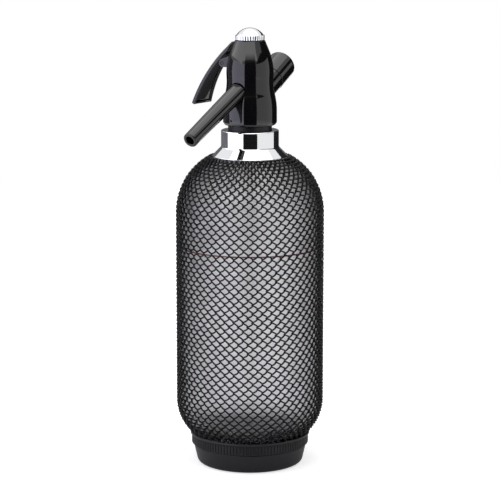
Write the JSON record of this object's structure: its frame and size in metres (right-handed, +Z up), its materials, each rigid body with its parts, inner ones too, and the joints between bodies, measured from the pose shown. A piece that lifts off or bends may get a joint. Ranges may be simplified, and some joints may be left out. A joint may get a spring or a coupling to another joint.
{
  "type": "soda siphon",
  "caption": "Mesh-clad glass soda siphon with a moulded base, chrome collar, black valve head, squeeze lever, pouring nozzle and gas charger holder.",
  "frame": {"origin": "centre of the flat underside of the base", "axes": "+Z up along the bottle, nozzle towards -Y, charger holder towards +Y, lever towards -X"},
  "size_m": [0.112, 0.1364, 0.3351],
  "materials": {
    "glass": "satin",
    "wire": "black lacquer",
    "base_plastic": "satin",
    "head_plastic": "gloss",
    "chrome": "polished",
    "brass": "turned",
    "steel": "turned",
    "rubber": "matte",
    "pale_plastic": "satin"
  },
  "bodies": {
    "bottle": {"glass_bottle": "glass", "mesh_jacket": "wire", "base_cup": "base_plastic", "base_grip_ring": "base_plastic", "base_cushion": "rubber", "neck_collar": "chrome", "thread_ring": "brass", "neck_liner": "pale_plastic"},
    "gasket": {"neck_gasket": "rubber"},
    "head": {"head_shell": "head_plastic", "valve_body": "base_plastic", "siphon_tube": "pale_plastic", "tube_bush": "rubber", "gas_check_valve": "rubber", "piercing_pin": "steel", "charger_seal": "rubber", "nozzle": "head_plastic", "nozzle_seal": "rubber", "stem_seal": "rubber", "gland_ring": "brass", "valve_spring": "steel", "lever_pin": "steel"},
    "charger": {"gas_charger": "steel"},
    "holder": {"charger_holder": "head_plastic"},
    "stem": {"valve_stem": "steel", "valve_seal": "rubber"},
    "cap_ring": {"cap_seal": "rubber"},
    "cap": {"top_cap": "chrome"},
    "lever": {"lever": "head_plastic"}
  },
  "joints": [
    {"name": "head_rise", "type": "slide", "parent": "bottle", "child": "gasket", "axis": [0, 0, 1], "range_m": [0, 0.0075]},
    {"name": "head_turn", "type": "hinge", "parent": "gasket", "child": "head", "pos_m": [0, 0, 0.2588], "axis": [0, 0, 1], "range_deg": [0, 1080]},
    {"name": "lever_squeeze", "type": "hinge", "parent": "head", "child": "lever", "pos_m": [-0.0203, 0, 0.30806], "axis": [0, -1, 0], "range_deg": [0, 14]},
    {"name": "valve_lift", "type": "slide", "parent": "head", "child": "stem", "axis": [0, 0, 1], "range_m": [0, 0.00387], "stiffness_N_per_m": 40, "springref_m": -0.004, "deforming": ["valve_spring"]},
    {"name": "charger_slide", "type": "slide", "parent": "head", "child": "charger", "axis": [0, 0.866, 0.5], "range_m": [0, 0.0075]},
    {"name": "holder_turn", "type": "hinge", "parent": "charger", "child": "holder", "pos_m": [0, 0, 0.27906], "axis": [0, 0.866, 0.5], "range_deg": [0, 1800]},
    {"name": "cap_rise", "type": "slide", "parent": "head", "child": "cap_ring", "axis": [0, 0, 1], "range_m": [0, 0.0045]},
    {"name": "cap_turn", "type": "hinge", "parent": "cap_ring", "child": "cap", "pos_m": [0, 0, 0.326], "axis": [0, 0, 1], "range_deg": [0, 1080]}
  ],
  "couplings": [
    {"joint": "head_turn", "follows": "head_rise", "rad_per_m": 2513.3},
    {"joint": "lever_squeeze", "follows": "valve_lift", "rad_per_m": 63},
    {"joint": "holder_turn", "follows": "charger_slide", "rad_per_m": 4188.8},
    {"joint": "cap_turn", "follows": "cap_rise", "rad_per_m": 4188.8}
  ]
}
